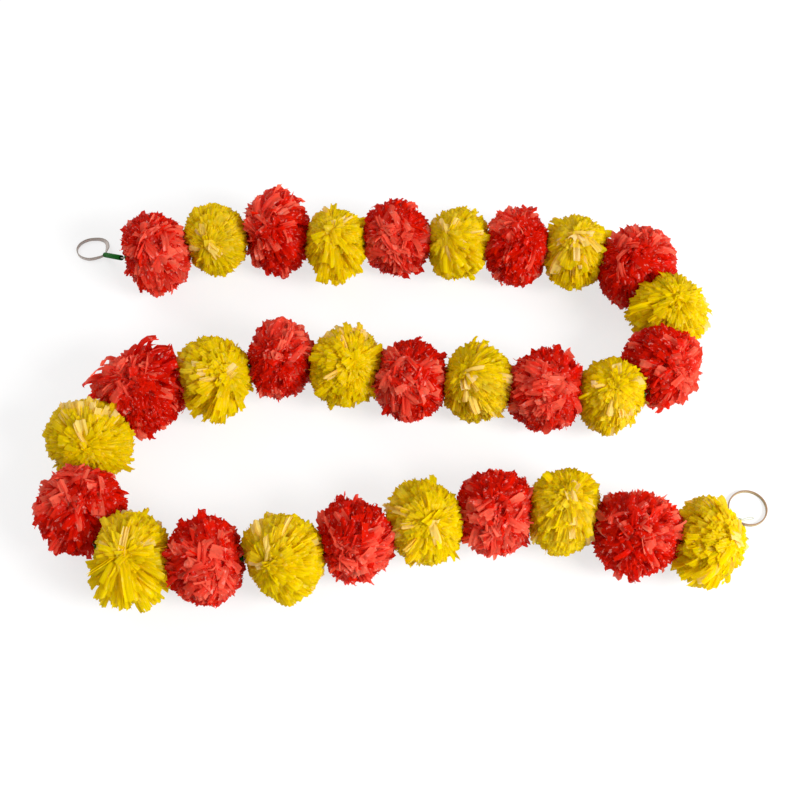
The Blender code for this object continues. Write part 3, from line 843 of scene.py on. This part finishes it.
def lipped(start, end):
    """Straight line with an extra point near each end, where the lip begins."""
    step = unit(end - start) * TUBE_LIP
    return np.array([start, start + step, (start + end) / 2, end - step, end])


# The tubes of these pompoms are one piece, on one body
MIDDLE = range(13, 18)
for number in numbers:
    if number in MIDDLE:
        continue
    shift = headings[number - 1] * TUBE_END_GAP
    line = lipped(bends[number - 1] + shift, bends[number] - shift)
    name = f"tube_{number:02d}"
    make_tube(name, line, f"spacer_tube_{number:02d}", f"link_{number:02d}")

first, last = MIDDLE[0] - 1, MIDDLE[-1]
line = bends[first : last + 1].copy()
line[0] += unit(line[1] - line[0]) * TUBE_END_GAP
line[-1] -= unit(line[-1] - line[-2]) * TUBE_END_GAP
make_tube("tube_middle", rounded(line, spacing=0.004, passes=2), "spacer_tube_middle", "middle_string")

# %% [markdown]
# The last tube is bare. It slopes down from the string's height to the left ring, which
# lies on the table. Its place follows from two joints: the one that lifts it, and the
# one on which the ring swings, a few millimetres past its mouth.

# %% The end tube
END_TUBE_START = 0.003
LEFT_TIE_RUN = 0.0030
MOUTH_HEIGHT = 0.0027
left_tie = np.array(joints["ring_left_swing"]["pos_m"])
low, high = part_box("hanging_ring_left")
left_middle = (np.array(low) + np.array(high)) / 2
left_way = unit((left_middle - left_tie) * (1, 1, 0))
mouth = left_tie - left_way * LEFT_TIE_RUN
mouth[2] = MOUTH_HEIGHT
tube_way = unit(mouth - bends[0])
make_tube("tube_end", lipped(bends[0] + tube_way * END_TUBE_START, mouth), "spacer_tube_00", "end_tube")
print("end tube slopes", round(math.degrees(math.asin(-tube_way[2]))), "degrees")

# %% [markdown]
# The string is a thin pale polypropylene thread, twisted from three plies. It shows
# only between the tubes and at the right ring. Where two links meet, it is cut into
# pieces that reach from one pompom's middle to the next.

# %% Thread finish
# Cells of the noise along a thread from hub to hub and round it: about 0.8 by 0.25 mm
FIBRES = (60.0, 14.0, 1.0)


def make_thread_finish(name, colour, shade):
    """Spun thread: its fibres are noise stretched along the length."""
    material, tree = new_material(name)
    place = add_node(tree, "UVMap", uv_map="skin")
    drawn = add_node(tree, "Mapping", {"Vector": place, "Scale": FIBRES})
    fibres = add_node(tree, "TexNoise", {"Vector": drawn, "Scale": 1.0, "Detail": 2.0})
    both = {"Factor": fibres, "A": linear(shade), "B": linear(colour)}
    tint = add_node(tree, "Mix", both, data_type="RGBA").outputs["Result"]
    bump = add_node(tree, "Bump", {"Height": fibres, "Strength": 0.4, "Distance": 0.00005})
    yarn = add_node(
        tree, "BsdfPrincipled",
        {"Base Color": tint, "Roughness": 0.55, "Normal": bump, "Sheen Weight": 0.2},
    )
    add_node(tree, "OutputMaterial", {"Surface": yarn})
    return material


thread_finish = make_thread_finish("spun PP thread", "#c9cdb8", "#9aa08a")
print("finish:", thread_finish.name)

# %% The thread
THREAD_RADIUS = 0.00055
PLY_PITCH = 0.003
CORNER = 0.0011
# Steps between its rings, where it shows and inside the middle tube
THREAD_STEP = 0.0008
HIDDEN_STEP = 0.0015
# Up for its rings leans a little, so that it is never along a thread that drops
THREAD_UP = (0.05, 0.02, 1.0)


def plies(radius, sides=12):
    """Outline of three plies: a circle whose radius swells three times a turn."""
    angle = np.linspace(0, 2 * np.pi, sides, endpoint=False)
    swollen = radius * (0.86 + 0.14 * np.cos(3 * angle))
    return swollen[:, None] * circle(1.0, sides)


def make_thread(name, path, radius=THREAD_RADIUS):
    """Twisted thread: the plies' outline rolls once a pitch along the path."""
    run = running_length(path)
    profile = plies(radius)
    rings = carry(path, profile, up=THREAD_UP, roll=2 * np.pi * run / PLY_PITCH)
    places = np.meshgrid(run / run[-1], np.linspace(0, 1, len(profile)), indexing="ij")
    piece = rod_piece(name, rings, thread_finish, "skin", places)
    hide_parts("string")
    return piece


def link_of(number):
    """Body that carries the string through a pompom."""
    return "middle_string" if number in MIDDLE else f"link_{number:02d}"


for number in range(1, FLOWER_COUNT):
    before, after = link_of(number), link_of(number + 1)
    if before == after:
        continue
    bend = bends[number]
    start = bend - headings[number - 1] * CORNER
    end = bend + headings[number] * CORNER
    path = evenly([hubs[number - 1], start, end, hubs[number]], THREAD_STEP)
    piece = make_thread(f"thread_{number:02d}", path)
    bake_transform(piece)

inner_hubs = hubs[MIDDLE[0] - 1], hubs[MIDDLE[-1] - 1]
middle_path = evenly([inner_hubs[0], *bends[MIDDLE[0] : MIDDLE[-1]], inner_hubs[1]], HIDDEN_STEP)
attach(make_thread("thread_middle", middle_path), "middle_string")

# How far inside the end tube's mouth the thread stops
LEFT_STOP = 0.002
start = bends[0] + headings[0] * CORNER
end = bends[0] + tube_way * CORNER
left_path = evenly([hubs[0], start, end, mouth - tube_way * LEFT_STOP], THREAD_STEP)
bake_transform(make_thread("thread_left", left_path))

# %% [markdown]
# At the right end the thread drops behind the last pompom, goes into both layers of the
# ring's strap and is knotted, and its cut tail lies inside the ring. A knot is a curve that
# winds three times round a small ring while it goes twice about its middle.

# %% The right end of the thread
# Along the last link, to its left and up, the thread's way down behind the pompom
DROP_ALONG = np.array([0.40, 0.75, 0.98, 1.08, 1.08, 1.04]) * 0.0055
DROP_ACROSS = np.array([0.01, 0.10, 0.28, 0.52, 0.74, 0.90]) * 0.0258
DROP_HEIGHT = np.array([0.99, 0.86, 0.62, 0.33, 0.13, 0.055]) * hubs[-1][2]
# From the tie, inside both layers of the ring's strap
RING_LAYERS = 0.0025
ahead = headings[-1]
drop = bends[-1] * (1, 1, 0) + DROP_ALONG[:, None] * ahead + DROP_ACROSS[:, None] * leftward(ahead)
drop[:, 2] = DROP_HEIGHT
right_tie = np.array(joints["ring_right_swing"]["pos_m"])
low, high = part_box("hanging_ring_right")
right_middle = (np.array(low) + np.array(high)) / 2
right_way = unit((right_middle - right_tie) * (1, 1, 0))
inside = right_tie + right_way * RING_LAYERS
right_path = rounded([hubs[-1], bends[-1], *drop, right_tie, inside], spacing=0.0006, passes=6)
right_thread = make_thread("thread_right", right_path)
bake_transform(right_thread)

# The knot's size and thread, and how far it lies past the strap and above the thread's end
KNOT_SIZE = 0.00042
KNOT_THREAD = 0.00042
KNOT_PAST = 0.0013
KNOT_LIFT = 0.0002
turn = np.linspace(0, 2 * np.pi, 90)
away = 2 + np.cos(3 * turn)
knot = KNOT_SIZE * np.stack([away * np.cos(2 * turn), away * np.sin(2 * turn), np.sin(3 * turn)], axis=1)
knot += inside + right_way * KNOT_PAST
knot[:, 2] += KNOT_LIFT
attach(make_thread("thread_knot", knot, radius=KNOT_THREAD), "ring_right")
print("knot across, in mm:", round(float(np.ptp(knot[:, 0])) * 1000, 1))

# %% [markdown]
# Both ends finish in a loop of polypropylene packing strap. It was rolled with a fine
# lozenge pattern, its slit edges are darker than its faces, and it stands on edge where
# it is free to. A smooth curve through a few places lays it out, and the same curve
# carries its height, roll and size along.

# %% Strap finish
# In millimetres, as the map is: how far apart the lozenges are, and how far from the
# middle the slit edge's colour begins and is full
LOZENGE = 1.5
SLIT_EDGE = (1.0, 1.3)
# Streaks to a millimetre across the band and along it: 0.5 mm wide and 4 mm long
STRAP_STREAKS = (2.0, 0.25, 1.0)


def make_strapping(name, face, edge, shade):
    """Rolled strap: two slanted waves make lozenges, and the slit edges have a colour.

    The map holds millimetres: across the band from its middle, and along it.
    """
    material, tree = new_material(name)
    place = add_node(tree, "UVMap", uv_map="band")
    across, along, _ = add_node(tree, "SeparateXYZ", {0: place}).outputs
    slant = add_node(tree, "Math", {0: across, 1: along}, operation="ADD")
    other = add_node(tree, "Math", {0: along, 1: across}, operation="SUBTRACT")
    waves = []
    for way in (slant, other):
        turn = add_node(tree, "Math", {0: way, 1: 2 * math.pi / LOZENGE}, operation="MULTIPLY")
        waves.append(add_node(tree, "Math", {0: turn}, operation="SINE"))
    lozenge = add_node(tree, "Math", {0: waves[0], 1: waves[1]}, operation="MULTIPLY")
    drawn = add_node(tree, "Mapping", {"Vector": place, "Scale": STRAP_STREAKS})
    streaks = add_node(tree, "TexNoise", {"Vector": drawn, "Scale": 1.0, "Detail": 4.0})
    both = {"Factor": streaks, "A": linear(shade), "B": linear(face)}
    tint = add_node(tree, "Mix", both, data_type="RGBA").outputs["Result"]
    off = add_node(tree, "Math", {0: across}, operation="ABSOLUTE")
    start, end = SLIT_EDGE
    rim = add_node(tree, "MapRange", {"Value": off, "From Min": start, "From Max": end})
    slit = {"Factor": rim, "A": tint, "B": linear(edge)}
    colour = add_node(tree, "Mix", slit, data_type="RGBA").outputs["Result"]
    gloss = add_node(tree, "MapRange", {"Value": streaks, "To Min": 0.28, "To Max": 0.5})
    bump = add_node(tree, "Bump", {"Height": lozenge, "Strength": 0.25, "Distance": 0.0001})
    strap = add_node(
        tree, "BsdfPrincipled",
        {"Base Color": colour, "Roughness": gloss, "Normal": bump, "Specular IOR Level": 0.4},
    )
    add_node(tree, "OutputMaterial", {"Surface": strap})
    return material


grey_strap = make_strapping("grey PP strapping", "#cbc2bc", "#9a8f86", "#b8ada5")
tan_strap = make_strapping("tan PP strapping", "#a8966c", "#8c6c52", "#8f7c52")
print("finishes:", grey_strap.name, "and", tan_strap.name)

# %% A strap along a smooth curve
def smooth_curve(places, steps):
    """Points on the Catmull-Rom curve through some places, for any number of columns.

    Between two places it is the cubic whose slope at each is half the step between the
    place's two neighbours.
    """
    p = np.concatenate([[2 * places[0] - places[1]], places, [2 * places[-1] - places[-2]]])
    t = np.linspace(0, 1, steps, endpoint=False)[None, :, None]
    a, b, c, d = (p[k : k + len(places) - 1, None] for k in range(4))
    bow = a - 2.5 * b + 2 * c - d / 2
    twist = 1.5 * (b - c) + (d - a) / 2
    cubic = b + t * (c - a) / 2 + t**2 * bow + t**3 * twist
    return np.concatenate([cubic.reshape(-1, places.shape[1]), places[-1:]])


def band_outline(thickness, height, sides=28):
    """Rounded rectangle: each coordinate is a low power of a sine's or cosine's size."""
    waves = circle(1.0, sides)
    return np.array([thickness, height]) / 2 * np.sign(waves) * np.abs(waves) ** 0.3


def make_strap(name, path, profile, material, roll=0.0, size=1.0):
    """Strap whose outline is carried along a path, mapped in millimetres."""
    rings = carry(path, profile, roll=roll, swell=size)
    places = np.meshgrid(running_length(path) * 1000, profile[:, 1] * 1000, indexing="ij")
    return rod_piece(name, rings, material, "band", places[::-1])


print("points of a strap's outline:", len(band_outline(1.0, 3.0)))

# %% [markdown]
# The left strap comes out of the end tube, goes round an oval and back in, and its last
# stretch lies over on its flat side like a leaf before it enters.

# %% The left loop
LEFT_STRAP = (0.0008, 0.0030)
MM = 0.001
# Along the ring's way from the tube's mouth, to its left, height, roll in degrees, size
LEFT_LOOP = np.array([
    (-2.4, 0.3, 4.8, 0, 0.66), (0.0, 0.4, 2.8, 0, 0.72), (3.6, 4.0, 1.9, 0, 0.92),
    (10.0, 8.8, 1.6, 0, 1.0), (17.8, 9.3, 1.55, 0, 1.0), (23.0, 5.2, 1.55, 0, 1.0),
    (23.9, -0.8, 1.55, 0, 1.0), (20.8, -6.6, 1.6, 0, 1.0), (15.0, -10.6, 1.7, 8, 1.0),
    (9.6, -11.8, 2.0, 30, 1.0), (5.2, -10.4, 2.5, 62, 1.0), (1.8, -6.6, 3.6, 66, 1.0),
    (0.1, -2.6, 4.3, 45, 0.85), (-0.2, -0.3, 3.3, 10, 0.72), (-2.4, -0.3, 5.0, 0, 0.66),
])
curve = smooth_curve(LEFT_LOOP, 12)
left_axes = np.stack([left_way, leftward(left_way), [0.0, 0.0, 1.0]])
left_line = mouth * (1, 1, 0) + MM * (curve[:, :3] @ left_axes)
left_ring = make_strap(
    "ring_left_strap", left_line, band_outline(*LEFT_STRAP), grey_strap,
    roll=np.radians(curve[:, 3]), size=curve[:, 4],
)
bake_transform(left_ring)
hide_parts("hanging_ring_left")
print("left loop, in mm:", [round(float(v) * 1000, 1) for v in np.ptp(left_line, axis=0)])

# %% [markdown]
# The right strap is wound a little past one turn, and its overlap is where the string
# goes through. It is a flat spiral: along it, the way out from the middle grows evenly by
# one strap and a gap, so that its ends lie over each other and don't touch.

# %% The right ring
RIGHT_STRAP = (0.0010, 0.0026)
RIGHT_SIZES = (0.0290, 0.0285)
LAYER_GAP = 0.0005
OVERLAP = math.radians(40)
STRAP_GAP = 0.0001
share = np.linspace(0, 1, 130)
angle = -math.pi - OVERLAP / 2 + share * (2 * math.pi + OVERLAP)
outward = (share - 1) * (RIGHT_STRAP[0] + LAYER_GAP) - RIGHT_STRAP[0] / 2
centre = right_tie + right_way * RIGHT_SIZES[0] / 2
long_way = (RIGHT_SIZES[0] / 2 + outward) * np.cos(angle)
wide_way = (RIGHT_SIZES[1] / 2 + outward) * np.sin(angle)
ring_line = centre + long_way[:, None] * right_way + wide_way[:, None] * leftward(right_way)
ring_line[:, 2] = RIGHT_STRAP[1] / 2 + STRAP_GAP
right_ring = make_strap("ring_right_strap", ring_line, band_outline(*RIGHT_STRAP), tan_strap)
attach(right_ring, "ring_right")
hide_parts("hanging_ring_right")

# A thin loop of the thread's cut tail lies inside the ring: millimetres along and to the
# left of its way. It comes down from the knot by a share that halves every 8 points or so
TAIL = np.array([
    (0.6, 0.0), (3.5, 0.9), (7.5, 1.2), (10.2, 0.9), (11.0, 0.2), (10.2, -0.5), (7.0, -0.2), (3.2, 0.1),
    (0.8, -0.3),
])
TAIL_HEADING = math.radians(14)
TAIL_RADIUS = 0.00028
TAIL_HEIGHT = 0.0004
TAIL_START = 0.0006
TAIL_FALL = 12
tail_way = np.array([math.cos(TAIL_HEADING), math.sin(TAIL_HEADING), 0.0])
tail = smooth_curve(TAIL, 10) * MM
tail_line = inside * (1, 1, 0) + tail[:, :1] * tail_way + tail[:, 1:] * leftward(tail_way)
tail_line[:, 2] = TAIL_HEIGHT + TAIL_START * np.exp(-np.arange(len(tail_line)) / TAIL_FALL)
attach(make_thread("thread_tail", tail_line, radius=TAIL_RADIUS), "ring_right")
print("right ring, in mm:", [round(float(v) * 1000, 1) for v in np.ptp(ring_line, axis=0)])
